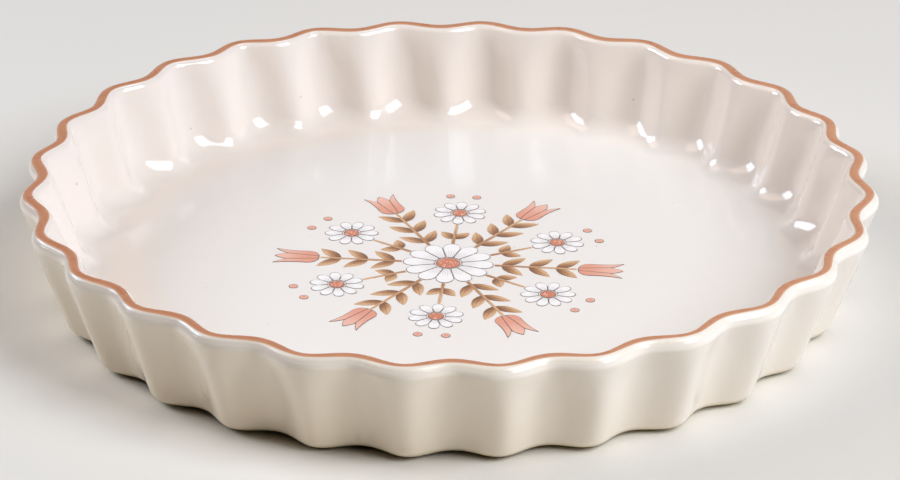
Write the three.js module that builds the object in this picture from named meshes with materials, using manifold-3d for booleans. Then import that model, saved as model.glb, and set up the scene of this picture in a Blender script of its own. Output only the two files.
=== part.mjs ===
// Fluted quiche dish in glazed stoneware: one pressed body with a wavy wall, a coloured band
// along its rim, a bare clay foot ring under it and a fired-on flower print on its floor.
// Millimetres, +Z up. The origin is the centre of the foot, on the surface that the dish stands on.
import * as THREE from "three";
import { mergeVertices } from "three/addons/utils/BufferGeometryUtils.js";
import Module from "manifold-3d";

// Body
const dishDiameter = 280; // over the lobes, at the widest
const dishHeight = 38; // from the surface it stands on to the top of the rim band
const wallThickness = 6; // square to the wall, with a fully rounded rim
const wallFlare = 19.8; // degrees that the wall leans outwards
const floorThickness = 5.3;
const cornerRadius = 5.5; // outside, where the wall turns under
const filletRadius = 10; // inside, where the wall meets the floor

// Flutes
const fluteCount = 28;
const fluteDepth = 4.2; // at the rim, from the top of a lobe to the bottom of a hollow
const wallFluteDepth = 4.9; // on the wall
const rimDepth = 8; // over this depth the round rim turns into the wall
const fluteFade = 0.6; // how the flutes run out on the fillet: below 1, late
const stepsPerFlute = 8;

// Foot ring
const footHeight = 0.7;
const footWidth = 6;
const footInset = 8.3; // from the edge of the underside, between the lobes, to the ring
const footChamfer = 0.3;
const footSteps = 84;

// Rim band
const bandWidth = 2.9; // along the curve of the rim
const bandThickness = 0.25; // at the crest, thinning to nothing at its edges

// Flower print
const inkThickness = 0.15;
const inkGap = 0.5; // bare glaze between two patches of ink
const sprayCount = 6; // sprigs, each with its tulip, and as many daisies between them
const rosetteRadius = 15;
const rosettePetals = 12;
const rosetteEyeRadius = 4;
const daisyRadius = 9;
const daisyPetals = 10;
const daisyEyeRadius = 2.6;
const daisyDistance = 40; // from the middle of the dish to the middle of a daisy
const petalNotch = 3.4; // how far the outline dips between two petals
const berryRadius = 1.5;
const berryDistance = 53.5;
const berrySpread = 4.5; // to each side of the daisy's line
const sprigLength = 27;
const sprigLeafPairs = 3;
const sprigLeafLength = 10;
const stalkLeafPairs = 1; // on the short stalk that carries a daisy
const stalkLeafLength = 7;
const stemWidth = 1;
const leafWidth = 3.8;
const leafLean = 42; // degrees between a leaf and its stem
const tulipLength = 15;
const tulipWidth = 11;

// Finishes, as they look in even light
const finishes = {
  ivoryGlaze: new THREE.MeshStandardMaterial({ color: 0xf0e9df, roughness: 0.15 }),
  rimGlaze: new THREE.MeshStandardMaterial({ color: 0xc4835f, roughness: 0.25 }),
  bareClay: new THREE.MeshStandardMaterial({ color: 0xd8c7ae, roughness: 0.85 }),
  whiteInk: new THREE.MeshStandardMaterial({ color: 0xf7f7f8, roughness: 0.2 }),
  brownInk: new THREE.MeshStandardMaterial({ color: 0xb5835a, roughness: 0.2 }),
  salmonInk: new THREE.MeshStandardMaterial({ color: 0xe09a84, roughness: 0.2 }),
  rustInk: new THREE.MeshStandardMaterial({ color: 0xc9745a, roughness: 0.2 }),
};

// Levels and angles that follow from the sizes above
const flare = THREE.MathUtils.degToRad(wallFlare);
const quarterTurn = Math.PI / 2;
const lipRadius = wallThickness / 2;
const lipZ = dishHeight - bandThickness - lipRadius;
const lipMidRadius = (dishDiameter - fluteDepth) / 2 - lipRadius;
const floorTop = footHeight + floorThickness;
const bandReach = bandWidth / 2 / lipRadius; // angle from the crest to either edge of the band
const stepCount = fluteCount * stepsPerFlute;

// Radius of the wall's middle at a height, without its flutes
function midRadius(z) {
  return lipMidRadius - (lipZ - z) * Math.tan(flare);
}

// A point of the profile: its mean radius, its height, and how far it follows the flutes, from 0 to 1
function profilePoint(radius, z, share = 1) {
  return { radius, z, share };
}

// Evenly spaced angles from one to another, both ends included
function sweep(from, to, steps) {
  return Array.from({ length: steps + 1 }, (_, i) => from + ((to - from) * i) / steps);
}

// The curve that leads from a level floor into a face of the wall, as centre and radius
function cornerCurve(faceOffset, floorZ, radius) {
  const z = floorZ + radius;
  return { radius, z, centre: midRadius(z) + (faceOffset - radius) / Math.cos(flare) };
}

// A point of that curve: at a quarter turn down it is on the floor, at the flare's angle on the wall
function cornerPoint(curve, angle, share) {
  const radius = curve.centre + curve.radius * Math.cos(angle);
  return profilePoint(radius, curve.z + curve.radius * Math.sin(angle), share);
}

// A point of the rounded rim, by its angle from straight up, outwards positive
function lipPoint(angle, height = 0) {
  const reach = lipRadius + height;
  return profilePoint(lipMidRadius + reach * Math.sin(angle), lipZ + reach * Math.cos(angle));
}

// One ring of points round the axis. The rim is set out square to its wavy middle, so that it is evenly
// round, and the wall below it along the radius, with deeper flutes.
function flutedRing({ radius, z, share }) {
  const mid = midRadius(z);
  const rimShare = THREE.MathUtils.smoothstep(z, lipZ - rimDepth, lipZ);
  const swing = (THREE.MathUtils.lerp(wallFluteDepth, fluteDepth, rimShare) / 2) * share;
  return Array.from({ length: stepCount }, (_, step) => {
    const turn = (step / stepCount) * 2 * Math.PI;
    const reach = mid + swing * Math.cos(fluteCount * turn);
    const slope = -swing * fluteCount * Math.sin(fluteCount * turn);
    const square = new THREE.Vector2(reach, -slope).normalize().multiplyScalar(radius - mid);
    const along = reach + square.x;
    const across = square.y * rimShare;
    return new THREE.Vector3(
      along * Math.cos(turn) - across * Math.sin(turn),
      along * Math.sin(turn) + across * Math.cos(turn),
      z,
    );
  });
}

// One ring of the straight wall, on its outer or inner face
function wallRing(z, faceOffset) {
  return flutedRing(profilePoint(midRadius(z) + faceOffset / Math.cos(flare), z));
}

// Triangles between neighbouring rings, facing out where the rings run up the outside.
// A flipped skin has the same triangles, facing the other way.
function skinFaces(rings, flipped = false) {
  const faces = [];
  for (let row = 0; row + 1 < rings.length; row++) {
    const low = rings[row];
    const high = rings[row + 1];
    for (let step = 0; step < stepCount; step++) {
      const next = (step + 1) % stepCount;
      faces.push([low[step], low[next], high[next]], [low[step], high[next], high[step]]);
    }
  }
  return flipped ? faces.map(([a, b, c]) => [a, c, b]) : faces;
}

// Triangles from a ring to a point on the axis, facing down or up
function capFaces(ring, z, facingUp) {
  const pole = new THREE.Vector3(0, 0, z);
  return ring.map((point, step) => {
    const next = ring[(step + 1) % ring.length];
    return facingUp ? [pole, point, next] : [pole, next, point];
  });
}

function geometryOf(faces) {
  const corners = faces.flat();
  return mergeVertices(new THREE.BufferGeometry().setFromPoints(corners));
}

// Booleans
const wasm = await Module();
wasm.setup();

function solidOf(geometry) {
  const bare = geometry.clone();
  bare.deleteAttribute("normal");
  bare.deleteAttribute("uv");
  const merged = mergeVertices(bare);
  return new wasm.Manifold(
    new wasm.Mesh({
      numProp: 3,
      vertProperties: merged.getAttribute("position").array,
      triVerts: new Uint32Array(merged.index.array),
    }),
  );
}

function geometryOfSolid(solid) {
  const { vertProperties, triVerts } = solid.getMesh();
  return new THREE.BufferGeometry()
    .setAttribute("position", new THREE.BufferAttribute(vertProperties, 3))
    .setIndex(new THREE.BufferAttribute(triVerts, 1));
}

function join(geometries) {
  return geometryOfSolid(geometries.map(solidOf).reduce((all, one) => all.add(one)));
}

function piece(name, geometry, finish) {
  const mesh = new THREE.Mesh(geometry, finish);
  mesh.name = name;
  return mesh;
}

// Body: underside, corner, wall, rim, inside of the wall, fillet and floor
const corner = cornerCurve(lipRadius, footHeight, cornerRadius);
const fillet = cornerCurve(-lipRadius, floorTop, filletRadius);

const cornerRings = sweep(-quarterTurn, -flare, 3)
  .map((angle) => flutedRing(cornerPoint(corner, angle, 1)));
const turnHeights = [lipZ - rimDepth, lipZ - rimDepth / 2]; // where the wall turns into the rim
const outerWallRings = turnHeights.map((z) => wallRing(z, lipRadius));
const innerWallRings = turnHeights.toReversed().map((z) => wallRing(z, -lipRadius));
const shoulderRings = sweep(quarterTurn + flare, bandReach, 3)
  .slice(0, -1)
  .map((angle) => flutedRing(lipPoint(angle)));
const crestAngles = sweep(bandReach, -bandReach, 4);
const crestRings = crestAngles.map((angle) => flutedRing(lipPoint(angle)));
const innerLipRings = sweep(-bandReach, flare - quarterTurn, 2)
  .slice(1)
  .map((angle) => flutedRing(lipPoint(angle)));
// The flutes run out as the fillet turns into the round, level floor
const filletRings = sweep(-flare, -quarterTurn, 5).map((angle) => {
  const share = ((quarterTurn + angle) / (quarterTurn - flare)) ** fluteFade;
  return flutedRing(cornerPoint(fillet, angle, share));
});

function dishBody() {
  const rings = [
    ...cornerRings, ...outerWallRings, ...shoulderRings, ...crestRings,
    ...innerLipRings, ...innerWallRings, ...filletRings,
  ];
  return geometryOf([
    ...capFaces(rings[0], footHeight, false),
    ...skinFaces(rings),
    ...capFaces(rings.at(-1), floorTop, true),
  ]);
}

// Rim band: a coat that lies on the crest and thins out to its two edges
function rimBand() {
  const coatRings = crestAngles.map((angle) => {
    const share = 1 - (angle / bandReach) ** 2;
    return flutedRing(lipPoint(angle, bandThickness * share));
  });
  return geometryOf([...skinFaces(coatRings), ...skinFaces(crestRings, true)]);
}

// Foot ring: the one face left without glaze, with both lower edges broken
function footRing() {
  const outer = corner.centre - fluteDepth / 2 - footInset;
  const inner = outer - footWidth;
  const outline = [
    [inner, footHeight],
    [inner, footChamfer],
    [inner + footChamfer, 0],
    [outer - footChamfer, 0],
    [outer, footChamfer],
    [outer, footHeight],
    [inner, footHeight],
  ].map(([r, z]) => new THREE.Vector2(r, z));
  return new THREE.LatheGeometry(outline, footSteps).rotateX(quarterTurn);
}

// Print: flat patches of ink on the floor
function inkPatch(shape, curveSegments) {
  return new THREE.ExtrudeGeometry(shape, { depth: inkThickness, bevelEnabled: false, curveSegments });
}

function disc(radius, segments) {
  const shape = new THREE.Shape().absarc(0, 0, radius, 0, 2 * Math.PI);
  return inkPatch(shape, segments);
}

// A ring of petals in one outline, open in the middle for its eye
function petalRing(radius, petals, eyeRadius) {
  const pointsPerPetal = 6;
  const outline = Array.from({ length: petals * pointsPerPetal }, (_, i) => {
    const turn = (i / pointsPerPetal / petals) * 2 * Math.PI;
    const crown = Math.abs(Math.cos((petals * turn) / 2));
    const reach = radius - petalNotch * (1 - crown) ** 1.5;
    return new THREE.Vector2(reach * Math.cos(turn), reach * Math.sin(turn));
  });
  const shape = new THREE.Shape(outline);
  shape.holes.push(new THREE.Path().absarc(0, 0, eyeRadius + inkGap, 0, 2 * Math.PI, true));
  return inkPatch(shape, petals);
}

// A pointed leaf along +X from its stem
function leaf(length) {
  const bulge = (leafWidth / 2) * (4 / 3);
  const shape = new THREE.Shape();
  shape.bezierCurveTo(length * 0.25, bulge, length * 0.6, bulge, length, 0);
  shape.bezierCurveTo(length * 0.6, -bulge, length * 0.25, -bulge, 0, 0);
  return inkPatch(shape, 4);
}

// A stem along +X with its leaves in pairs, each pair growing from the stem's middle line
function leafyStem(length, leafPairs, leafLength) {
  const stem = new THREE.BoxGeometry(length, stemWidth, inkThickness)
    .translate(length / 2, 0, inkThickness / 2);
  const pitch = length / leafPairs;
  const leaves = [];
  for (let pair = 0; pair < leafPairs; pair++) {
    for (const side of [-1, 1]) {
      leaves.push(
        leaf(leafLength)
          .rotateZ(side * THREE.MathUtils.degToRad(leafLean))
          .translate(pitch * (pair + 0.25), 0, 0),
      );
    }
  }
  return join([stem, ...leaves]);
}

// A tulip seen from the side, along +X from its stalk: a round cup with three points
function tulip() {
  const half = tulipWidth / 2;
  const shoulder = tulipLength * 0.45;
  const dip = tulipLength * 0.72;
  const shape = new THREE.Shape();
  shape.bezierCurveTo(0, half * 0.9, shoulder * 0.5, half, shoulder, half * 0.85);
  shape.quadraticCurveTo(tulipLength * 0.8, half * 0.75, tulipLength, half);
  shape.quadraticCurveTo(tulipLength * 0.85, half * 0.35, dip, half * 0.4);
  shape.quadraticCurveTo(tulipLength * 0.85, half * 0.15, tulipLength, 0);
  shape.quadraticCurveTo(tulipLength * 0.85, -half * 0.15, dip, -half * 0.4);
  shape.quadraticCurveTo(tulipLength * 0.85, -half * 0.35, tulipLength, -half);
  shape.quadraticCurveTo(tulipLength * 0.8, -half * 0.75, shoulder, -half * 0.85);
  shape.bezierCurveTo(shoulder * 0.5, -half, 0, -half * 0.9, 0, 0);
  return inkPatch(shape, 3);
}

// One sprig with its tulip, from the rosette outwards
function spray(number) {
  const group = new THREE.Group();
  const stem = leafyStem(sprigLength, sprigLeafPairs, sprigLeafLength);
  const sprig = piece(`print_sprig_${number}`, stem, finishes.brownInk);
  sprig.position.x = rosetteRadius + inkGap;
  const bloom = piece(`print_tulip_${number}`, tulip(), finishes.salmonInk);
  bloom.position.x = sprig.position.x + sprigLength + inkGap;
  return group.add(sprig, bloom);
}

// One daisy on its stalk, with its eye and the two berries beyond it
function posy(number) {
  const group = new THREE.Group();
  const stalkStart = rosetteRadius + inkGap;
  const stalkEnd = daisyDistance - daisyRadius - inkGap;
  const stem = leafyStem(stalkEnd - stalkStart, stalkLeafPairs, stalkLeafLength);
  const stalk = piece(`print_stalk_${number}`, stem, finishes.brownInk);
  stalk.position.x = stalkStart;
  const petals = piece(`print_daisy_${number}`, petalRing(daisyRadius, daisyPetals, daisyEyeRadius),
    finishes.whiteInk);
  petals.position.x = daisyDistance;
  const eye = piece(`print_daisy_eye_${number}`, disc(daisyEyeRadius, 8), finishes.rustInk);
  eye.position.x = daisyDistance;
  group.add(stalk, petals, eye);
  for (const [side, word] of [[-1, "right"], [1, "left"]]) {
    const berry = piece(`print_berry_${number}_${word}`, disc(berryRadius, 6), finishes.salmonInk);
    berry.position.set(berryDistance, side * berrySpread, 0);
    group.add(berry);
  }
  return group;
}

function flowerPrint() {
  const group = new THREE.Group();
  group.position.z = floorTop;
  group.add(
    piece("print_rosette", petalRing(rosetteRadius, rosettePetals, rosetteEyeRadius), finishes.whiteInk),
    piece("print_rosette_eye", disc(rosetteEyeRadius, 10), finishes.rustInk),
  );
  const pitch = (2 * Math.PI) / sprayCount;
  for (let i = 0; i < sprayCount; i++) {
    const outward = spray(i + 1);
    outward.rotation.z = i * pitch;
    const between = posy(i + 1);
    between.rotation.z = (i + 0.5) * pitch;
    group.add(outward, between);
  }
  return group;
}

const dish = new THREE.Group();
dish.add(
  piece("dish_body", dishBody(), finishes.ivoryGlaze),
  piece("rim_band", rimBand(), finishes.rimGlaze),
  piece("foot_ring", footRing(), finishes.bareClay),
  flowerPrint(),
);

export default dish;
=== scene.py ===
import math

import bpy
from mathutils import Matrix, Vector


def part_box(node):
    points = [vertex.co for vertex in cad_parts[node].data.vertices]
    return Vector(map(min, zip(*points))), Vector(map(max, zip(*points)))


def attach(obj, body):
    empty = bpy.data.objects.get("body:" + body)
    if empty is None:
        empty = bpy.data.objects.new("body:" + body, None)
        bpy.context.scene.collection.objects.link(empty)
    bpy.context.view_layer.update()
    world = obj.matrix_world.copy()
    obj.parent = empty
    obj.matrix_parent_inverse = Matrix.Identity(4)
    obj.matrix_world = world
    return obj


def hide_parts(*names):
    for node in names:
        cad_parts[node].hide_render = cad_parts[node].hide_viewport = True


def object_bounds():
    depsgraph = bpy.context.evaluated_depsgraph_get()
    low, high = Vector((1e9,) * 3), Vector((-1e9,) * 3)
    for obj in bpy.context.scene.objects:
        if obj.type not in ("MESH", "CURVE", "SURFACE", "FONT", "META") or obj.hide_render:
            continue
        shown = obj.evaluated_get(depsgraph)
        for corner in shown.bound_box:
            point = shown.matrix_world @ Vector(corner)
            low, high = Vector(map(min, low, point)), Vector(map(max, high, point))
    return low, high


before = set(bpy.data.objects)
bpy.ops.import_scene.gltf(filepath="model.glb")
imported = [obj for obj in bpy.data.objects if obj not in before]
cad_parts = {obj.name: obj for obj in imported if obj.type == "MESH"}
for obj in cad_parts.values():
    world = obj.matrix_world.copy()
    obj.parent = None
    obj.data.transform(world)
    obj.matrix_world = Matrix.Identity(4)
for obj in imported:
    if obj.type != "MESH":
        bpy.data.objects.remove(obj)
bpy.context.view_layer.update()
scene = bpy.context.scene
mm = 0.001  # the scene is in metres
print("frame loaded with", len(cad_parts), "nodes")


# Nodes: a field is a socket that can be used in sums, in geometry and shader trees alike

class Field:
    def __init__(self, tree, socket):
        self.tree = tree
        self.socket = socket

    def __add__(self, other):
        return calc(self.tree, "ADD", self, other)

    def __radd__(self, other):
        return calc(self.tree, "ADD", other, self)

    def __sub__(self, other):
        return calc(self.tree, "SUBTRACT", self, other)

    def __rsub__(self, other):
        return calc(self.tree, "SUBTRACT", other, self)

    def __mul__(self, other):
        return calc(self.tree, "MULTIPLY", self, other)

    def __rmul__(self, other):
        return calc(self.tree, "MULTIPLY", other, self)

    def __truediv__(self, other):
        return calc(self.tree, "DIVIDE", self, other)

    def __pow__(self, other):
        return calc(self.tree, "POWER", self, other)


def feed(tree, socket, value):
    if isinstance(value, Field):
        tree.links.new(value.socket, socket)
    elif hasattr(value, "is_linked"):
        tree.links.new(value, socket)
    else:
        socket.default_value = value


def add(tree, kind, inputs=None, **settings):
    node = tree.nodes.new(kind)
    for key, value in settings.items():
        setattr(node, key, value)
    for key, value in (inputs or {}).items():
        feed(tree, node.inputs[key], value)
    return node


def calc(tree, operation, *values):
    node = tree.nodes.new("ShaderNodeMath")
    node.operation = operation
    for socket, value in zip(node.inputs, values):
        feed(tree, socket, value)
    return Field(tree, node.outputs[0])


def ramp(tree, value, low, high):  # 0 below low, 1 above high, smooth between
    node = add(tree, "ShaderNodeMapRange", {"Value": value, "From Min": low, "From Max": high},
               interpolation_type="SMOOTHSTEP")
    return Field(tree, node.outputs["Result"])


def parts(tree, vector):  # the three numbers of a vector
    node = add(tree, "ShaderNodeSeparateXYZ", {0: vector})
    return [Field(tree, socket) for socket in node.outputs]


def point(tree, x, y, z):
    return add(tree, "ShaderNodeCombineXYZ", {"X": x, "Y": y, "Z": z}).outputs[0]


# Geometry Nodes helpers

socketKinds = {"float": "NodeSocketFloat", "int": "NodeSocketInt", "material": "NodeSocketMaterial"}


def geometryTree(name, inputs):
    tree = bpy.data.node_groups.new(name, "GeometryNodeTree")
    tree.interface.new_socket("Geometry", in_out="INPUT", socket_type="NodeSocketGeometry")
    for label, kind in inputs.items():
        tree.interface.new_socket(label, in_out="INPUT", socket_type=socketKinds[kind])
    tree.interface.new_socket("Geometry", in_out="OUTPUT", socket_type="NodeSocketGeometry")
    source = tree.nodes.new("NodeGroupInput")
    sizes = {label: Field(tree, source.outputs[label]) for label in inputs}
    return tree, source.outputs["Geometry"], sizes


def keep(tree, geometry, name, value):  # stores a number on every point, for the material
    node = add(tree, "GeometryNodeStoreNamedAttribute",
               {"Geometry": geometry, "Name": name, "Value": value}, data_type="FLOAT", domain="POINT")
    return node.outputs["Geometry"]


def move(tree, geometry, x, y, z):
    place = point(tree, x, y, z)
    return add(tree, "GeometryNodeSetPosition", {"Geometry": geometry, "Position": place}).outputs["Geometry"]


weldDistance = 0.002 * mm


def weld(tree, geometry):
    return add(tree, "GeometryNodeMergeByDistance",
               {"Geometry": geometry, "Distance": weldDistance}).outputs["Geometry"]


def film(tree, flat, thickness):  # a flat patch becomes a closed film of ink
    lift = {"Mesh": flat, "Offset": point(tree, 0, 0, 1), "Offset Scale": thickness, "Individual": False}
    lifted = add(tree, "GeometryNodeExtrudeMesh", lift, mode="FACES")
    under = add(tree, "GeometryNodeFlipFaces", {"Mesh": flat})
    both = add(tree, "GeometryNodeJoinGeometry")
    for geometry in (lifted.outputs["Mesh"], under.outputs["Mesh"]):
        tree.links.new(geometry, both.inputs[0])
    return weld(tree, both.outputs[0])


def close(tree, geometry, material, smooth=True):
    real = add(tree, "GeometryNodeRealizeInstances", {"Geometry": geometry}).outputs["Geometry"]
    shaded = add(tree, "GeometryNodeSetShadeSmooth", {"Geometry": real, "Shade Smooth": smooth})
    done = add(tree, "GeometryNodeSetMaterial",
               {"Geometry": shaded.outputs["Geometry"], "Material": material})
    sink = tree.nodes.new("NodeGroupOutput")
    tree.links.new(done.outputs["Geometry"], sink.inputs["Geometry"])


def grow(name, tree, values, base=None):  # runs a tree and keeps its result as a plain mesh
    piece = bpy.data.objects.new(name, base or bpy.data.meshes.new(name))
    scene.collection.objects.link(piece)
    modifier = piece.modifiers.new("build", "NODES")
    modifier.node_group = tree
    for item in tree.interface.items_tree:
        if item.in_out == "INPUT" and item.name in values:
            modifier[item.identifier] = values[item.name]
    graph = bpy.context.evaluated_depsgraph_get()
    mesh = bpy.data.meshes.new_from_object(piece.evaluated_get(graph), preserve_all_data_layers=True,
                                           depsgraph=graph)
    piece.modifiers.remove(modifier)
    piece.data = mesh
    mesh.name = name
    return piece


def install(piece, slot, *nodes):
    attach(piece, "root")
    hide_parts(*nodes)


# Material helpers

def newMaterial(name):
    material = bpy.data.materials.new(name)
    material.use_nodes = True
    tree = material.node_tree
    return material, tree, tree.nodes["Principled BSDF"]


def objectSpace(tree):
    return add(tree, "ShaderNodeTexCoord").outputs["Object"]


def noise(tree, scale, detail=2.0, roughness=0.5):
    node = add(tree, "ShaderNodeTexNoise", {"Vector": objectSpace(tree), "Scale": scale, "Detail": detail,
                                            "Roughness": roughness})
    return Field(tree, node.outputs["Fac"])


def attribute(tree, name):
    node = add(tree, "ShaderNodeAttribute", attribute_name=name)
    return Field(tree, node.outputs["Fac"])


def blend(tree, factor, first, second):  # mixes two colours, given as numbers or sockets
    node = add(tree, "ShaderNodeMix", data_type="RGBA")
    feed(tree, node.inputs["Factor"], factor)
    for socket, colour in ((node.inputs["A"], first), (node.inputs["B"], second)):
        feed(tree, socket, (*colour, 1) if isinstance(colour, tuple) else colour)
    return node.outputs["Result"]


def bump(tree, shader, height, distance, strength=1.0):
    node = add(tree, "ShaderNodeBump", {"Height": height, "Distance": distance, "Strength": strength})
    tree.links.new(node.outputs["Normal"], shader.inputs["Normal"])


# Finishes

glaze = {
    "floor": (0.812, 0.765, 0.725),
    "inside": (0.88, 0.766, 0.68),
    "floorShadeRing": (99 * mm, 117 * mm),  # painted shade: the floor's glaze is set darker and cooler than the wall's, for how the light falls on it; here the floor's colour turns into that of the wall
    "floorShadeMiddle": (6 * mm, 8 * mm),
    "outside": (0.885, 0.76, 0.59),
    "outsideHigh": (0.885, 0.778, 0.642),  # the outside is warmer, partly the clay under the glaze, partly painted warm shade and table bounce, more so lower down
    "paintedBounceHeights": (4 * mm, 36 * mm),
    "outsideFrom": (-0.1, 1.0),  # over the lip
    "outsidePaintedLight": (0.885, 0.82, 0.76),  # painted light: the right of the outside, where the key lamp falls, is paler
    "paintedLightSide": (-40 * mm, 120 * mm),
    "paintedLightShare": 0.5,
    "lipPaintedShade": (0.42, 0.36, 0.33),  # painted shade: the outer half of the lip is darker at the left
    "lipLeft": (45 * mm, -90 * mm),
    "lipShadeShare": 0.4,
    "lipShadeStart": (0.0, 0.1),
    "lipShadeEnd": (0.45, 0.95),
    "cloudScale": 14,
    "cloudShare": 0.2,
    "thinColour": (0.74, 0.62, 0.30),  # where the glaze runs thin over the clay, at the bottom edge
    "thinHeights": (0.8 * mm, 3.5 * mm),
    "thinShare": 0.8,
    "footEdge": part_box("foot_ring")[1][0],  # from here to the middle the underside is ivory
    "footFade": 3 * mm,
    "roughness": 0.06,
    "roughnessDrift": 0.06,
    "roughnessScale": 60,
    "rippleScale": 45,
    "pinholeScale": 320,
    "pinholeShare": 0.15,
    "rippleDepth": 0.12 * mm,
    "rippleStrength": 0.5,
}
speck = {
    "colour": (0.33, 0.17, 0.08),
    "size": 0.45 * mm,
    "cell": 24 * mm,  # room that each speck has
    "emptyCells": (0.72, 0.74),  # share of the cells that hold none
    "faint": 0.12,
    "spread": 0.25,  # from the faintest to the strongest
    "wallRadius": 125 * mm,  # unrolls the wall for its specks
    "wallHeights": (7 * mm, 8 * mm),  # between the floor's specks and the wall's
}


def specks(tree, place):
    cells = add(tree, "ShaderNodeTexVoronoi", {"Vector": place, "Scale": 1 / speck["cell"]},
                voronoi_dimensions="2D")
    chance = parts(tree, cells.outputs["Color"])
    size = speck["size"] / speck["cell"] * (0.5 + chance[1])
    spot = 1 - ramp(tree, Field(tree, cells.outputs["Distance"]), size * 0.4, size)
    strength = speck["faint"] + speck["spread"] * chance[2]
    return spot * ramp(tree, chance[0], *speck["emptyCells"]) * strength


# paints shade over a share of the lip, darker towards the left
def paintLipShade(tree, x, share, base):
    left = ramp(tree, x, *glaze["lipLeft"]) * glaze["lipShadeShare"]
    return blend(tree, left * share, base, glaze["lipPaintedShade"])


def ivoryGlaze():
    material, tree, shader = newMaterial("ivoryGlaze")
    x, y, height = parts(tree, objectSpace(tree))
    # painted shade: the floor is given a darker, cooler glaze than the wall
    aside, behind = x - glaze["floorShadeMiddle"][0], y - glaze["floorShadeMiddle"][1]
    radius = calc(tree, "SQRT", aside * aside + behind * behind)
    base = blend(tree, ramp(tree, radius, *glaze["floorShadeRing"]), glaze["floor"], glaze["inside"])
    across = attribute(tree, "across")  # from -1 inside, over the lip, to 1 outside
    # painted warm bounce on the lower outside, together with the clay's warmer tone
    rise = ramp(tree, height, *glaze["paintedBounceHeights"])
    wallSide = blend(tree, rise, glaze["outside"], glaze["outsideHigh"])
    # painted light: the outside turns paler towards the lit right
    pale = ramp(tree, x, *glaze["paintedLightSide"]) * glaze["paintedLightShare"]
    wallSide = blend(tree, pale, wallSide, glaze["outsidePaintedLight"])
    base = blend(tree, ramp(tree, across, *glaze["outsideFrom"]), base, wallSide)
    # painted shade on the outer half of the lip, darker at the left
    lip = ramp(tree, across, *glaze["lipShadeStart"]) * (1 - ramp(tree, across, *glaze["lipShadeEnd"]))
    base = paintLipShade(tree, x, lip, base)
    base = blend(tree, glaze["cloudShare"] * noise(tree, glaze["cloudScale"], 3), base, glaze["outside"])
    low = 1 - ramp(tree, height, *glaze["thinHeights"])
    fromAxis = calc(tree, "SQRT", x * x + y * y)
    low = low * ramp(tree, fromAxis, glaze["footEdge"] - glaze["footFade"], glaze["footEdge"])
    base = blend(tree, low * glaze["thinShare"], base, glaze["thinColour"])
    unrolled = point(tree, calc(tree, "ARCTAN2", y, x) * speck["wallRadius"], height, 0)
    onWall = ramp(tree, height, *speck["wallHeights"])
    spots = specks(tree, point(tree, x, y, 0)) * (1 - onWall) + specks(tree, unrolled) * onWall
    base = blend(tree, spots, base, speck["colour"])
    feed(tree, shader.inputs["Base Color"], base)
    dullness = glaze["roughnessDrift"] * noise(tree, glaze["roughnessScale"], 2)
    feed(tree, shader.inputs["Roughness"], glaze["roughness"] + dullness)
    ripples = noise(tree, glaze["rippleScale"], 2)
    pinholes = noise(tree, glaze["pinholeScale"], 2)
    relief = ripples + glaze["pinholeShare"] * pinholes
    bump(tree, shader, relief, glaze["rippleDepth"], glaze["rippleStrength"])
    return material


rimColours = {
    "deep": (0.475, 0.193, 0.10),
    "plain": (0.575, 0.263, 0.144),
    "thin": (0.72, 0.43, 0.275),
    "patchScale": 130,
    "patchTurn": (0.1, 0.9),
    # painted sheen: the colour is lighter towards the right, where the key lamp's sheen falls, and deeper at
    # the left
    "paintedSheenShift": 0.25,
    "thinFrom": (0.45, 0.95),  # shares of the way from the crest to where the colour ends
    "thinShare": 0.5,
    "bareFrom": (0.94, 1.08),
    "marginTurn": (-0.6, 0.9),  # radians from the crest, for the ivory beside the colour
    "marginLipShade": (0.2, 0.4),
    "roughness": 0.22,
    "roughnessDrift": 0.12,
    "specular": 0.2,
    "bareSpecular": 0.3,  # added where it is bare
    "brushDepth": 0.1 * mm,
    "brushStrength": 0.3,
}
rimBrush = {  # how far the colour reaches from the crest, in radians, and how it drifts round the rim
    "inner": 0.447,
    "innerLeft": -0.04,
    "innerBack": 0.033,
    "innerLobe": -0.013,
    "outer": 0.625,
    "outerLeft": 0.125,
    "outerBack": 0.225,
    "outerLobe": -0.067,
    "wander": 0.094,
    "wanderScale": 75,
    "rimRadius": 135 * mm,
}


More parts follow.
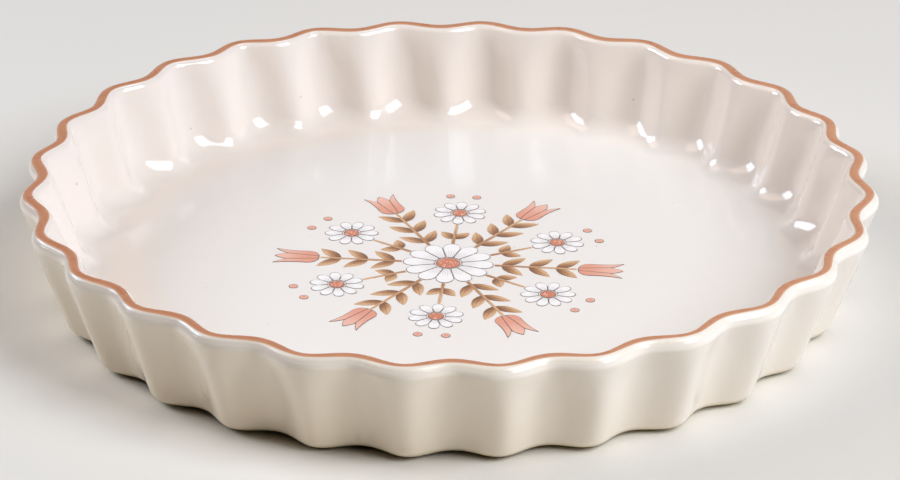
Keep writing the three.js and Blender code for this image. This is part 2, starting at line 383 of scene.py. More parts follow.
def terracottaGlaze():
    material, tree, shader = newMaterial("terracottaGlaze")
    across = attribute(tree, "across")  # angle from the crest, outwards positive
    lobe = attribute(tree, "lobe")  # 1 on a lobe, -1 in a hollow
    x, y, _ = parts(tree, objectSpace(tree))
    left = x / (-1 * rimBrush["rimRadius"])
    back = y / rimBrush["rimRadius"]
    patchy = noise(tree, rimColours["patchScale"], 4)
    # painted sheen: lighter towards the right, deeper at the left
    coat = ramp(tree, patchy - rimColours["paintedSheenShift"] * left, *rimColours["patchTurn"])
    base = blend(tree, coat, rimColours["deep"], rimColours["plain"])
    wander = rimBrush["wander"] * (noise(tree, rimBrush["wanderScale"], 3) - 0.5)
    inner = rimBrush["inner"] + rimBrush["innerLeft"] * left + rimBrush["innerBack"] * back
    inner = across * -1 / (inner + rimBrush["innerLobe"] * lobe + wander)
    outer = rimBrush["outer"] + rimBrush["outerLeft"] * left + rimBrush["outerBack"] * back
    outer = across / (outer + rimBrush["outerLobe"] * lobe + wander)
    edge = calc(tree, "MAXIMUM", inner, outer)  # 1 where the colour ends
    thin = ramp(tree, edge, *rimColours["thinFrom"]) * rimColours["thinShare"]
    base = blend(tree, thin, base, rimColours["thin"])
    bare = ramp(tree, edge, *rimColours["bareFrom"])
    margin = blend(tree, ramp(tree, across, *rimColours["marginTurn"]), glaze["inside"], glaze["outsideHigh"])
    # painted shade on the lip beside the colour, as on the glaze
    margin = paintLipShade(tree, x, ramp(tree, across, *rimColours["marginLipShade"]), margin)
    base = blend(tree, bare, base, margin)
    feed(tree, shader.inputs["Base Color"], base)
    feed(tree, shader.inputs["Roughness"], rimColours["roughness"] + rimColours["roughnessDrift"] * patchy)
    specular = rimColours["specular"] + rimColours["bareSpecular"] * bare
    feed(tree, shader.inputs["Specular IOR Level"], specular)
    bump(tree, shader, patchy, rimColours["brushDepth"], rimColours["brushStrength"])
    return material


clay = {
    "dark": (0.62, 0.50, 0.36),
    "light": (0.73, 0.63, 0.49),
    "cloudScale": 40,
    "grain": (0.35, 0.24, 0.15),
    "grainScale": 900,
    "grainFrom": (0.62, 0.72),
    "grainShare": 0.6,
    "grainDepth": 0.25 * mm,
    "roughness": 0.78,
    "roughnessDrift": 0.15,
}


def bareClay():
    material, tree, shader = newMaterial("bareClay")
    grain = noise(tree, clay["grainScale"], 5, 0.65)
    cloud = noise(tree, clay["cloudScale"], 3)
    base = blend(tree, cloud, clay["dark"], clay["light"])
    base = blend(tree, ramp(tree, grain, *clay["grainFrom"]) * clay["grainShare"], base, clay["grain"])
    feed(tree, shader.inputs["Base Color"], base)
    feed(tree, shader.inputs["Roughness"], clay["roughness"] + clay["roughnessDrift"] * grain)
    bump(tree, shader, grain, clay["grainDepth"], 0.6)
    return material


inkColours = {
    "white": (0.94, 0.905, 0.885),
    "whiteWorn": (0.912, 0.878, 0.858),
    "petalShade": (0.80, 0.755, 0.75),
    "outline": (0.16, 0.10, 0.085),
    "leafDark": (0.20, 0.075, 0.03),
    "leafPlain": (0.44, 0.20, 0.085),
    "leafLight": (0.68, 0.40, 0.21),
    "salmon": (0.75, 0.30, 0.205),
    "salmonLight": (0.85, 0.47, 0.37),
    "rust": (0.60, 0.175, 0.10),
}
ink = {
    "roughness": 0.14,
    "roughnessDrift": 0.1,
    "roughnessScale": 200,
    "coat": 0.5,
    "coatRoughness": 0.04,
    "washScale": {"petal": 300, "leaf": 260, "tulip": 220},
}
pen = {
    "petalLine": 0.26 * mm,
    "tulipLine": 0.22 * mm,
    "eyeLine": 0.3 * mm,
    "softness": 0.3,  # share of the line's width
    "breaks": (0.30, 0.42),
    "breakScale": 700,
    "faint": 0.55,
    "spread": 0.4,
    "petalStrokes": 2.6,  # strokes over a petal, running out from the eye
    "leafRibs": 7,
    "ribSlant": 1.6,
    "eyeDots": 1.1 * mm,
}


def inkShader(name):
    material, tree, shader = newMaterial(name)
    dullness = ink["roughnessDrift"] * noise(tree, ink["roughnessScale"], 3)
    feed(tree, shader.inputs["Roughness"], ink["roughness"] + dullness)
    shader.inputs["Coat Weight"].default_value = ink["coat"]
    shader.inputs["Coat Roughness"].default_value = ink["coatRoughness"]
    return material, tree, shader


def wash(tree, name):
    return noise(tree, ink["washScale"][name], 3)


def outlined(tree, base, width):  # a dark pen line along every edge of a patch
    soft = width * pen["softness"]
    line = 1 - ramp(tree, attribute(tree, "edgeDistance"), width - soft, width + soft)
    whole = ramp(tree, noise(tree, pen["breakScale"], 2), *pen["breaks"])
    return blend(tree, line * (pen["faint"] + pen["spread"] * whole), base, inkColours["outline"])


def whiteInk():
    material, tree, shader = inkShader("whiteInk")
    along = attribute(tree, "along")
    across = attribute(tree, "across")
    base = blend(tree, wash(tree, "petal"), inkColours["white"], inkColours["whiteWorn"])
    base = blend(tree, (1 - ramp(tree, along, 0.0, 0.55)) * 0.7, base, inkColours["petalShade"])
    hair = calc(tree, "PINGPONG", across * pen["petalStrokes"] + 0.25, 0.5)
    stroke = (1 - ramp(tree, hair, 0.05, 0.12)) * (1 - ramp(tree, along, 0.35, 0.6)) * 0.5
    base = blend(tree, stroke, base, inkColours["outline"])
    base = outlined(tree, base, pen["petalLine"])
    feed(tree, shader.inputs["Base Color"], base)
    return material


def brownInk():
    material, tree, shader = inkShader("brownInk")
    along = attribute(tree, "along")
    across = attribute(tree, "across")
    far = calc(tree, "ABSOLUTE", across)
    shade = ramp(tree, along + 0.3 * across + 0.25 * (wash(tree, "leaf") - 0.5), 0.05, 0.95)
    base = blend(tree, ramp(tree, shade, 0.0, 0.5), inkColours["leafDark"], inkColours["leafPlain"])
    base = blend(tree, ramp(tree, shade, 0.45, 1.0), base, inkColours["leafLight"])
    rib = calc(tree, "PINGPONG", along * pen["leafRibs"] - far * pen["ribSlant"], 0.5)
    vein = (1 - ramp(tree, rib, 0.05, 0.16)) * (1 - ramp(tree, along, 0.5, 0.85))
    middle = 1 - ramp(tree, far, 0.05, 0.13)
    base = blend(tree, calc(tree, "MAXIMUM", vein * 0.6, middle * 0.7), base, inkColours["leafDark"])
    feed(tree, shader.inputs["Base Color"], base)
    return material


def salmonInk():
    material, tree, shader = inkShader("salmonInk")
    fade = ramp(tree, attribute(tree, "along") + 0.3 * (wash(tree, "tulip") - 0.5), 0.15, 0.95)
    base = blend(tree, fade, inkColours["salmon"], inkColours["salmonLight"])
    base = outlined(tree, base, pen["tulipLine"])
    feed(tree, shader.inputs["Base Color"], base)
    return material


def rustInk():
    material, tree, shader = inkShader("rustInk")
    cells = add(tree, "ShaderNodeTexVoronoi", {"Vector": objectSpace(tree), "Scale": 1 / pen["eyeDots"]})
    dots = 1 - ramp(tree, Field(tree, cells.outputs["Distance"]), 0.25, 0.42)
    base = blend(tree, dots, inkColours["rust"], inkColours["salmonLight"])
    base = outlined(tree, base, pen["eyeLine"])
    feed(tree, shader.inputs["Base Color"], base)
    return material


finishes = {maker.__name__: maker() for maker in
            (ivoryGlaze, terracottaGlaze, bareClay, whiteInk, brownInk, salmonInk, rustInk)}
print("finishes:", ", ".join(finishes))


# Turned pieces: a profile is swept round the axis and follows the flutes of the wall

bodyLow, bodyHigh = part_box("dish_body")
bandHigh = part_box("rim_band")[1]
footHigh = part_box("foot_ring")[1]

dish = {
    "flutes": 28,
    "fluteDepth": 4.2 * mm,  # at the rim
    "wallFluteDepth": 4.9 * mm,
    "stepsPerFlute": 44,
    "wall": 6 * mm,
    "flare": math.radians(19.8),
    "cornerRadius": 5.5 * mm,
    "filletRadius": 10 * mm,
    "filletFade": 0.6,  # the flutes last almost to the floor
    "rimDepth": 8 * mm,  # over this depth the round rim turns into the wall
    "flatInset": 12 * mm,  # the flutes run out over this stretch of the underside
    "floorRing": 0.55,  # share of the floor's radius with a ring of points
    "wallSteps": 7,
    "cornerSteps": 8,
    "lipSteps": 32,
    "filletSteps": 16,
    "underside": bodyLow[2],
    "floor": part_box("print_rosette")[0][2],
    "outerRadius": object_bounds()[1][0],
}
rimDrift = {  # a fired rim is never quite true: waves round it, their size and first crest in degrees
    "from": 8 * mm,  # the wall is true up to this height
    "radius": ((3, 0.45 * mm, 80), (5, 0.45 * mm, -55)),
    "flutes": ((1, 0.006, 70), (2, 0.0055, 110), (3, 0.005, -25), (7, 0.0035, 85)),  # radians along it
}
quarter = math.pi / 2
lipRadius = dish["wall"] / 2
lipHeight = bodyHigh[2] - lipRadius
lipMidRadius = dish["outerRadius"] - dish["fluteDepth"] / 2 - lipRadius


def midRadius(z):  # middle of the wall at a height, without its flutes
    return lipMidRadius - (lipHeight - z) * math.tan(dish["flare"])


def sweep(start, end, steps):
    return [start + (end - start) * i / steps for i in range(steps + 1)]


def cornerCurve(faceOffset, floorZ, radius):  # the round from a level floor into a face of the wall
    z = floorZ + radius
    return midRadius(z) + (faceOffset - radius) / math.cos(dish["flare"]), z, radius


def onCurve(curve, angle):
    centre, z, radius = curve
    return centre + radius * math.cos(angle), z + radius * math.sin(angle)


def onLip(angle, height=0.0):  # the angle is from straight up, outwards positive
    reach = lipRadius + height
    return lipMidRadius + reach * math.sin(angle), lipHeight + reach * math.cos(angle)


def profileMesh(name, rows):  # rows of radius, height, share of the fluting, place from inside to outside
    mesh = bpy.data.meshes.new(name)
    mesh.from_pydata([(r, 0, z) for r, z, share, across in rows], [], [])
    for label, column in (("fluteShare", 2), ("across", 3)):
        values = mesh.attributes.new(label, "FLOAT", "POINT")
        values.data.foreach_set("value", [row[column] for row in rows])
    return mesh


def drift(tree, turn, waves):
    total = 0
    for count, size, start in waves:
        total = size * calc(tree, "COSINE", turn * count - math.radians(start)) + total
    return total


def turningTree():
    tree, profile, size = geometryTree("flutedTurning", {
        "Flutes": "int", "Flute depth": "float", "Wall flute depth": "float", "Rim depth": "float",
        "Steps": "int", "Lip radius": "float", "Lip height": "float", "Flare": "float",
        "Material": "material"})
    rows = add(tree, "GeometryNodeAttributeDomainSize", {"Geometry": profile}, component="MESH")
    rowCount = Field(tree, rows.outputs["Point Count"])
    grid = add(tree, "GeometryNodeMeshGrid", {"Vertices X": size["Steps"] + 1, "Vertices Y": rowCount})
    u, v, _ = parts(tree, grid.outputs["UV Map"])
    row = calc(tree, "ROUND", v * (rowCount - 1))

    def fromProfile(value, kind):
        node = add(tree, "GeometryNodeSampleIndex", data_type=kind, domain="POINT")
        for socket, source in ((node.inputs["Geometry"], profile), (node.inputs["Value"], value),
                               (node.inputs["Index"], row)):
            feed(tree, socket, source)
        return node.outputs["Value"]

    def named(label):
        node = add(tree, "GeometryNodeInputNamedAttribute", {"Name": label}, data_type="FLOAT")
        return Field(tree, fromProfile(node.outputs["Attribute"], "FLOAT"))

    r, _, z = parts(tree, fromProfile(add(tree, "GeometryNodeInputPosition").outputs[0], "FLOAT_VECTOR"))
    turn = u * (2 * math.pi)
    mid = size["Lip radius"] - (size["Lip height"] - z) * calc(tree, "TANGENT", size["Flare"])
    rimShare = ramp(tree, z, size["Lip height"] - size["Rim depth"], size["Lip height"])
    driftShare = ramp(tree, z, rimDrift["from"], size["Lip height"])
    wave = size["Flutes"] * (turn - driftShare * drift(tree, turn, rimDrift["flutes"]))
    depth = size["Wall flute depth"] + (size["Flute depth"] - size["Wall flute depth"]) * rimShare
    swing = depth * 0.5 * named("fluteShare")
    reach = mid + swing * calc(tree, "COSINE", wave) + driftShare * drift(tree, turn, rimDrift["radius"])
    slope = swing * size["Flutes"] * calc(tree, "SINE", wave) * -1
    length = calc(tree, "SQRT", reach * reach + slope * slope)
    along = reach + (r - mid) * reach / length
    aside = (r - mid) * slope / length * rimShare * -1  # the rim is set out square, the wall along the radius
    cosTurn = calc(tree, "COSINE", turn)
    sinTurn = calc(tree, "SINE", turn)
    geometry = keep(tree, grid.outputs["Mesh"], "lobe", calc(tree, "COSINE", wave))
    geometry = keep(tree, geometry, "across", named("across"))
    geometry = move(tree, geometry, along * cosTurn - aside * sinTurn, along * sinTurn + aside * cosTurn, z)
    close(tree, weld(tree, geometry), size["Material"])
    return tree


def turnedPiece(name, rows, steps, finish):
    return grow(name, turning, {
        "Flutes": dish["flutes"], "Flute depth": dish["fluteDepth"],
        "Wall flute depth": dish["wallFluteDepth"], "Rim depth": dish["rimDepth"], "Steps": steps,
        "Lip radius": lipMidRadius, "Lip height": lipHeight, "Flare": dish["flare"],
        "Material": finishes[finish]}, profileMesh(name, rows))


turning = turningTree()
aroundSteps = dish["flutes"] * dish["stepsPerFlute"]


def wallRows(start, end, across):  # the straight stretch of the wall, without its ends
    radii = sweep(start[0], end[0], dish["wallSteps"])
    heights = sweep(start[1], end[1], dish["wallSteps"])
    return [(r, z, 1, across) for r, z in zip(radii, heights)][1:-1]


def dishBody():
    flare = dish["flare"]
    corner = cornerCurve(lipRadius, dish["underside"], dish["cornerRadius"])
    fillet = cornerCurve(-lipRadius, dish["floor"], dish["filletRadius"])
    rows = [(0, dish["underside"], 0, 1), (corner[0] - dish["flatInset"], dish["underside"], 0, 1)]
    rows += [(*onCurve(corner, angle), 1, 1) for angle in sweep(-quarter, -flare, dish["cornerSteps"])]
    rows += wallRows(onCurve(corner, -flare), onLip(quarter + flare), 1)
    for angle in sweep(quarter + flare, flare - quarter, dish["lipSteps"]):
        rows.append((*onLip(angle), 1, (angle - flare) / quarter))
    rows += wallRows(onLip(flare - quarter), onCurve(fillet, -flare), -1)
    for angle in sweep(-flare, -quarter, dish["filletSteps"]):
        share = ((quarter + angle) / (quarter - flare)) ** dish["filletFade"]
        rows.append((*onCurve(fillet, angle), share, -1))
    rows += [(fillet[0] * dish["floorRing"], dish["floor"], 0, -1), (0, dish["floor"], 0, -1)]
    return turnedPiece("dishBody", rows, aroundSteps, "ivoryGlaze")


band = {
    "inner": math.radians(36),  # how far it reaches from the crest, with the margin where it runs out
    "outer": math.radians(62),
    "thickness": bandHigh[2] - bodyHigh[2],
    "tuck": 0.12 * mm,  # its edges end just under the glaze
    "taper": 3,  # it keeps its thickness almost to its edges
    "steps": 20,
    "underSteps": 8,
}


def rimBand():
    inner, outer = band["inner"], band["outer"]
    rows = []
    for angle in sweep(outer, -inner, band["steps"]):
        share = 1 - abs(angle / (outer if angle > 0 else inner)) ** band["taper"]
        height = band["thickness"] * share - band["tuck"] * (1 - share)
        rows.append((*onLip(angle, height), 1, angle))
    for angle in sweep(-inner, outer, band["underSteps"]):
        rows.append((*onLip(angle, -2 * band["tuck"]), 1, angle))
    rows.append(rows[0])
    return turnedPiece("rimBand", rows, aroundSteps, "terracottaGlaze")


foot = {"width": 6 * mm, "edge": 0.3 * mm, "edgeSteps": 4, "steps": 192}


def footRing():
    outer = footHigh[0]
    inner = outer - foot["width"]
    edge = foot["edge"]
    top = footHigh[2]
    bend = [(1 - math.cos(angle), 1 - math.sin(angle)) for angle in sweep(0, quarter, foot["edgeSteps"])]
    rows = [(inner, top)]
    rows += [(inner + edge * a, edge * b) for a, b in bend]
    rows += [(outer - edge * a, edge * b) for a, b in reversed(bend)]
    rows += [(outer, top), (inner, top)]
    rows = [(r, z, 0, 0) for r, z in rows]
    return turnedPiece("footRing", rows, foot["steps"], "bareClay")


install(dishBody(), "ivory_glaze", "dish_body")
install(rimBand(), "rim_glaze", "rim_band")
install(footRing(), "bare_clay", "foot_ring")
print("turned pieces: dishBody, rimBand, footRing")


# Flower print: films of ink on the floor, each grown at the middle and then set out round the dish

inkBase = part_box("print_rosette")[0][2]
flowerPrint = {
    "thickness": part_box("print_rosette")[1][2] - inkBase,
    "gap": 0.5 * mm,
    "sprays": 6,
    "rosette": {"radius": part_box("print_rosette")[1][0], "petals": 12, "eye": 4 * mm},
    "daisy": {"radius": 9 * mm, "petals": 10, "eye": 2.6 * mm, "distance": 40 * mm},
    "petalNotch": 3.4 * mm,
    "berry": {"radius": 1.5 * mm, "distance": 53.5 * mm, "spread": 4.5 * mm},
    "sprig": {"length": 27 * mm, "pairs": 3, "leaf": 10 * mm},
    "stalk": {"pairs": 1, "leaf": 7 * mm},
    "stemWidth": 1 * mm,
    "leafWidth": 3.8 * mm,
    "leafLean": math.radians(42),
    "tulip": {"length": 15 * mm, "width": 11 * mm},
}


def place(tree, geometry, size):  # from the middle out along +X, sideways, then round the axis
    out = add(tree, "GeometryNodeTransform",
              {"Geometry": geometry, "Translation": point(tree, size["Out"], size["Aside"], inkBase)})
    return add(tree, "GeometryNodeTransform",
               {"Geometry": out.outputs["Geometry"], "Rotation": point(tree, 0, 0, size["Turn"])}).outputs[0]


placing = {"Out": "float", "Aside": "float", "Turn": "float", "Thickness": "float", "Material": "material"}


petalForm = {"steps": 14, "stepsPerPetal": 16, "roundness": 1.5, "eyeMargin": 0.1 * mm}


def petalTree():
    tree, _, size = geometryTree("petalRing", {"Petals": "int", "Radius": "float", "Eye": "float",
                                               "Notch": "float", **placing})
    around = size["Petals"] * petalForm["stepsPerPetal"] + 1
    grid = add(tree, "GeometryNodeMeshGrid", {"Vertices X": petalForm["steps"], "Vertices Y": around})
    along, v, _ = parts(tree, grid.outputs["UV Map"])
    turn = v * (2 * math.pi)
    phase = size["Petals"] * turn * 0.5
    crown = calc(tree, "ABSOLUTE", calc(tree, "COSINE", phase))
    tip = size["Radius"] - size["Notch"] * (1 - crown) ** petalForm["roundness"]
    r = size["Eye"] + (tip - size["Eye"]) * along
    across = calc(tree, "WRAP", phase / math.pi, 0.5, -0.5) * 2  # -1 to 1 over one petal
    halfPetal = r * math.pi / size["Petals"]
    side = halfPetal * (1 - calc(tree, "ABSOLUTE", across))
    edge = calc(tree, "MINIMUM", tip - r, side)
    edge = calc(tree, "MINIMUM", edge, r - size["Eye"] + petalForm["eyeMargin"])
    geometry = keep(tree, grid.outputs["Mesh"], "along", along)
    geometry = keep(tree, geometry, "across", across)
    geometry = keep(tree, geometry, "edgeDistance", edge)
    geometry = move(tree, geometry, r * calc(tree, "COSINE", turn), r * calc(tree, "SINE", turn), 0)
    geometry = film(tree, weld(tree, geometry), size["Thickness"])
    close(tree, place(tree, geometry, size), size["Material"], False)
    return tree


dotSteps = (6, 33)  # outwards and round


def discTree():
    tree, _, size = geometryTree("inkDot", {"Radius": "float", **placing})
    outwards, around = dotSteps
    grid = add(tree, "GeometryNodeMeshGrid", {"Vertices X": outwards, "Vertices Y": around})
    along, v, _ = parts(tree, grid.outputs["UV Map"])
    turn = v * (2 * math.pi)
    r = size["Radius"] * along
    geometry = keep(tree, grid.outputs["Mesh"], "along", along)
    geometry = keep(tree, geometry, "edgeDistance", size["Radius"] - r)
    geometry = move(tree, geometry, r * calc(tree, "COSINE", turn), r * calc(tree, "SINE", turn), 0)
    geometry = film(tree, weld(tree, geometry), size["Thickness"])
    close(tree, place(tree, geometry, size), size["Material"], False)
    return tree


leafForm = {
    "steps": (21, 9),
    "shoulders": (0.75, 1.8),  # pull of the two inner points of its curve, 1 and 2 for even steps
    "thickness": 0.9,  # share of the stem's
    "firstPair": 0.25,  # of the way from one pair to the next
    "stemSteps": (31, 5),
    "stemFoot": 1.15,
    "stemTaper": 0.3,
}


def leafTree():
    tree, _, size = geometryTree("leafyStem", {
        "Length": "float", "Pairs": "int", "Leaf": "float", "Leaf width": "float", "Lean": "float",
        "Stem": "float", **placing})
    # one leaf along +X, a lens between two curves
    steps, rows = leafForm["steps"]
    grid = add(tree, "GeometryNodeMeshGrid", {"Vertices X": steps, "Vertices Y": rows})
    t, w, _ = parts(tree, grid.outputs["UV Map"])
    rest = 1 - t
    first, second = leafForm["shoulders"]
    x = size["Leaf"] * (rest * rest * t * first + rest * t * t * second + t ** 3)
    across = w * 2 - 1
    y = across * size["Leaf width"] * 2 * t * rest
    leaf = keep(tree, grid.outputs["Mesh"], "along", t)
    leaf = keep(tree, leaf, "across", across)
    leaf = film(tree, weld(tree, move(tree, leaf, x, y, 0)), size["Thickness"] * leafForm["thickness"])
    # leaves stand in pairs, one on each side of the stem
    index = Field(tree, add(tree, "GeometryNodeInputIndex").outputs[0])
    side = calc(tree, "MODULO", index, 2) * 2 - 1
    pair = calc(tree, "FLOOR", index * 0.5)
    root = size["Length"] / size["Pairs"] * (pair + leafForm["firstPair"])
    roots = add(tree, "GeometryNodePoints", {"Count": size["Pairs"] * 2, "Position": point(tree, root, 0, 0)})
    lean = point(tree, 0, 0, side * size["Lean"])
    leaves = add(tree, "GeometryNodeInstanceOnPoints",
                 {"Points": roots.outputs[0], "Instance": leaf, "Rotation": lean})
    # the stem is drawn over the leaves, in the tones of a leaf's middle
    steps, rows = leafForm["stemSteps"]
    strip = add(tree, "GeometryNodeMeshGrid", {"Vertices X": steps, "Vertices Y": rows})
    s, q, _ = parts(tree, strip.outputs["UV Map"])
    stem = keep(tree, strip.outputs["Mesh"], "along", 0.35 + 0.35 * s)
    stem = keep(tree, stem, "across", q * 0.6 + 0.2)
    width = size["Stem"] * (leafForm["stemFoot"] - leafForm["stemTaper"] * s)
    stem = move(tree, stem, s * size["Length"], (q - 0.5) * width, 0)
    stem = film(tree, weld(tree, stem), size["Thickness"])
    both = add(tree, "GeometryNodeJoinGeometry")
    for geometry in (leaves.outputs[0], stem):
        tree.links.new(geometry, both.inputs[0])
    close(tree, place(tree, both.outputs[0], size), size["Material"], False)
    return tree


tulipForm = {  # shares of its length or width
    "steps": (33, 49),
    "cup": 0.30,  # the round foot of the bloom
    "points": 2.2,  # zigzag of the three tips
    "dip": 0.27,
    "sharpness": 1.25,
    "footWidth": 0.93,
    "pinch": 0.72,
    "opening": 0.07,
    "seam": 0.455,  # edges of the middle petal
    "seamBend": 0.30,
    "tipSlope": 0.7,
}


def tulipTree():
    tree, _, size = geometryTree("tulip", {"Length": "float", "Width": "float", **placing})
    steps, rows = tulipForm["steps"]
    grid = add(tree, "GeometryNodeMeshGrid", {"Vertices X": steps, "Vertices Y": rows})
    s, v, _ = parts(tree, grid.outputs["UV Map"])
    w = v * 2 - 1
    far = calc(tree, "ABSOLUTE", w)
    cup = tulipForm["cup"] * (1 - calc(tree, "SQRT", 1.0001 - far * far))  # just over 1, so never below 0
    half = tulipForm["points"] / 2
    zigzag = calc(tree, "PINGPONG", far * tulipForm["points"], half) / half  # 0 at a tip, 1 in a dip
    top = 1 - tulipForm["dip"] * zigzag ** tulipForm["sharpness"]
    x = cup + (top - cup) * s
    waist = tulipForm["footWidth"] - tulipForm["pinch"] * x * (1 - x) + tulipForm["opening"] * x
    y = w * waist * 0.5
    seam = calc(tree, "ABSOLUTE", far - (tulipForm["seam"] - tulipForm["seamBend"] * (1 - s) ** 2))
    fromTip = (top - x) * tulipForm["tipSlope"] * size["Length"]
    edge = calc(tree, "MINIMUM", (1 - far) * 0.5 * waist * size["Width"], fromTip)
    edge = calc(tree, "MINIMUM", edge, (x - cup) * size["Length"])
    edge = calc(tree, "MINIMUM", edge, seam * 0.5 * size["Width"])
    geometry = keep(tree, grid.outputs["Mesh"], "along", x)
    geometry = keep(tree, geometry, "across", w)
    geometry = keep(tree, geometry, "edgeDistance", edge)
    geometry = move(tree, geometry, x * size["Length"], y * size["Width"], 0)
    geometry = film(tree, weld(tree, geometry), size["Thickness"])
    close(tree, place(tree, geometry, size), size["Material"], False)
    return tree


petals, dots, stems, blooms = petalTree(), discTree(), leafTree(), tulipTree()


def inkPiece(node, tree, finish, out=0.0, aside=0.0, turn=0.0, **sizes):
    labels = {key[0].upper() + key[1:]: value for key, value in sizes.items()}
    words = node.split("_")
    name = words[0] + "".join(word.capitalize() for word in words[1:])
    piece = grow(name, tree, {"Out": out, "Aside": aside, "Turn": turn, "Thickness": flowerPrint["thickness"],
                              "Material": finishes[finish], **labels})
    install(piece, finish.replace("Ink", "_ink"), node)


def leafyStem(node, part, length, turn):
    start = flowerPrint["rosette"]["radius"] + flowerPrint["gap"]
    leafWidth = {"leaf width": flowerPrint["leafWidth"]}
    inkPiece(node, stems, "brownInk", out=start, turn=turn, length=length, pairs=part["pairs"],
             leaf=part["leaf"], lean=flowerPrint["leafLean"], stem=flowerPrint["stemWidth"], **leafWidth)
    return start + length


def petalRing(node, part, **spot):
    inkPiece(node, petals, "whiteInk", petals=part["petals"], radius=part["radius"],
             eye=part["eye"] + flowerPrint["gap"], notch=flowerPrint["petalNotch"], **spot)


rosette, daisy, berry = flowerPrint["rosette"], flowerPrint["daisy"], flowerPrint["berry"]
petalRing("print_rosette", rosette)
inkPiece("print_rosette_eye", dots, "rustInk", radius=rosette["eye"])
pitch = 2 * math.pi / flowerPrint["sprays"]
for number in range(1, flowerPrint["sprays"] + 1):
    turn = (number - 1) * pitch
    tip = leafyStem(f"print_sprig_{number}", flowerPrint["sprig"], flowerPrint["sprig"]["length"], turn)
    inkPiece(f"print_tulip_{number}", blooms, "salmonInk", out=tip + flowerPrint["gap"], turn=turn,
             **flowerPrint["tulip"])
    turn += pitch / 2
    stalkLength = daisy["distance"] - daisy["radius"] - rosette["radius"] - 2 * flowerPrint["gap"]
    leafyStem(f"print_stalk_{number}", flowerPrint["stalk"], stalkLength, turn)
    spot = {"out": daisy["distance"], "turn": turn}
    petalRing(f"print_daisy_{number}", daisy, **spot)
    inkPiece(f"print_daisy_eye_{number}", dots, "rustInk", radius=daisy["eye"], **spot)
    for side, word in ((-1, "right"), (1, "left")):
        inkPiece(f"print_berry_{number}_{word}", dots, "salmonInk", radius=berry["radius"],
                 out=berry["distance"], aside=side * berry["spread"], turn=turn)
print("flower print:", flowerPrint["sprays"], "sprays")


# Stage: a pale table, a large soft lamp at the right and weaker ones at both sides and behind

camera = {
    "azimuth": math.radians(5.556),
    "elevation": math.radians(24.044),
    "distance": 1.237,  # from the middle of the rim
    "rimHeight": 37.9 * mm,
    "rimPixel": (448.4, 175.4),  # where the middle of the rim lies in the picture
    "focalPixels": 3777.9,
    "pictureSize": (900, 480),
    "roll": math.radians(-0.283),
    "sensor": 36.0,
}


def lookFrom(azimuth, elevation):  # direction from the dish to a viewer or lamp
    return Vector((math.sin(azimuth) * math.cos(elevation), -math.cos(azimuth) * math.cos(elevation),
                   math.sin(elevation)))


def setCamera():
    width, height = camera["pictureSize"]
    back = lookFrom(camera["azimuth"], camera["elevation"])
    right = Vector((math.cos(camera["azimuth"]), math.sin(camera["azimuth"]), 0))
    axes = Matrix((right, back.cross(right), back)).transposed()
    pan = math.atan2(camera["rimPixel"][0] - width / 2, camera["focalPixels"])
    tilt = math.atan2(camera["rimPixel"][1] - height / 2, camera["focalPixels"])
    axes = axes @ Matrix.Rotation(pan, 3, "Y") @ Matrix.Rotation(tilt, 3, "X")
    axes = axes @ Matrix.Rotation(-camera["roll"], 3, "Z")
    data = bpy.data.cameras.new("camera")
    data.sensor_width = camera["sensor"]
    data.lens = camera["focalPixels"] * camera["sensor"] / width
    viewer = bpy.data.objects.new("camera", data)
    viewer.matrix_world = axes.to_4x4()
    viewer.location = Vector((0, 0, camera["rimHeight"])) + back * camera["distance"]
    scene.collection.objects.link(viewer)
    scene.camera = viewer


lamps = {  # azimuth from the camera, right positive, and elevation in degrees, then metres and watts
    "rightKey": {"azimuth": 60, "elevation": 43, "distance": 1.8, "size": (1.0, 1.1),
                 "watts": 37, "colour": (0.87, 0.93, 1.0)},
    "leftSpot": {"azimuth": -107, "elevation": 28, "distance": 1.5, "size": (0.74, 0.5),
                 "watts": 15, "colour": (0.73, 0.85, 1.0)},
    "leftPanel": {"azimuth": -100, "elevation": 50, "distance": 2.5, "size": (1.4, 1.0),
                  "watts": 14, "colour": (1.0, 0.8, 0.65)},
    "rightPanel": {"azimuth": 95, "elevation": 14, "distance": 2.0, "size": (2.3, 0.9),
                   "watts": 8, "colour": (0.3, 0.5, 1.0), "mirrored": False},
    "backPanel": {"azimuth": 180, "elevation": 15, "distance": 2.0, "size": (2.8, 1.0),
                  "watts": 6.3, "colour": (1.0, 0.8, 0.65)},
}


def softbox(name, watts, colour, azimuth, elevation, distance, size, mirrored=True):
    data = bpy.data.lights.new(name, "AREA")
    data.shape = "RECTANGLE"
    data.size, data.size_y = size
    data.energy = watts
    data.color = colour
    lamp = bpy.data.objects.new(name, data)
    direction = lookFrom(camera["azimuth"] + math.radians(azimuth), math.radians(elevation))
    lamp.location = direction * distance
    lamp.rotation_euler = direction.to_track_quat("Z", "Y").to_euler()
    lamp.visible_glossy = mirrored  # the glaze doesn't show the blue panel
    scene.collection.objects.link(lamp)


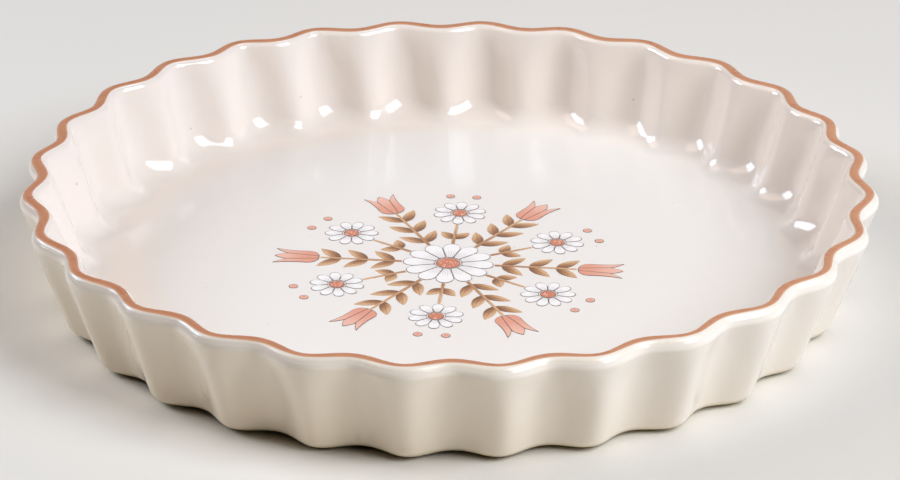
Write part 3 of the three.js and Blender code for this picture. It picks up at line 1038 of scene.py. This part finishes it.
tableForm = {
    "width": 6.0,
    "plain": (0.735, 0.686, 0.621),
    "pale": (0.76, 0.711, 0.646),
    "cloudScale": 6,
    "cool": (0.30, 0.36, 0.40),  # painted shade: the table turns darker and cooler towards the left
    "leftShadeSide": (50 * mm, -250 * mm),
    "leftShadeShare": 0.08,
    "dark": (0.05, 0.04, 0.03),  # painted contact shadow: keeps the gap under the dish's left edge dark
    "paintedShadowRing": (127.5 * mm, 119 * mm),
    "paintedShadowSide": (80 * mm, -10 * mm),
    "paintedShadowShare": 0.7,
    "roughness": 0.75,
}


def tableTop():
    material, tree, shader = newMaterial("paleTable")
    x, y, _ = parts(tree, objectSpace(tree))
    base = blend(tree, noise(tree, tableForm["cloudScale"], 4), tableForm["plain"], tableForm["pale"])
    # painted shade: darker and cooler towards the left
    cool = ramp(tree, x, *tableForm["leftShadeSide"]) * tableForm["leftShadeShare"]
    base = blend(tree, cool, base, tableForm["cool"])
    # painted contact shadow under the dish's left edge
    under = ramp(tree, calc(tree, "SQRT", x * x + y * y), *tableForm["paintedShadowRing"])
    under = under * ramp(tree, x, *tableForm["paintedShadowSide"])
    base = blend(tree, under * tableForm["paintedShadowShare"], base, tableForm["dark"])
    feed(tree, shader.inputs["Base Color"], base)
    shader.inputs["Roughness"].default_value = tableForm["roughness"]
    mesh = bpy.data.meshes.new("table")
    half = tableForm["width"] / 2
    corners = [(-half, -half, 0), (half, -half, 0), (half, half, 0), (-half, half, 0)]
    mesh.from_pydata(corners, [], [(0, 1, 2, 3)])
    mesh.materials.append(material)
    table = bpy.data.objects.new("table", mesh)
    scene.collection.objects.link(table)


room = {"colour": (0.02, 0.02, 0.02, 1), "strength": 1.0}


def surroundings():
    world = bpy.data.worlds.new("studio")
    world.use_nodes = True
    background = world.node_tree.nodes["Background"]
    background.inputs["Color"].default_value = room["colour"]
    background.inputs["Strength"].default_value = room["strength"]
    scene.world = world


setCamera()
for lampName, lamp in lamps.items():
    softbox(lampName, **lamp)
tableTop()
surroundings()
scene.view_settings.view_transform = "Standard"
print("stage set")
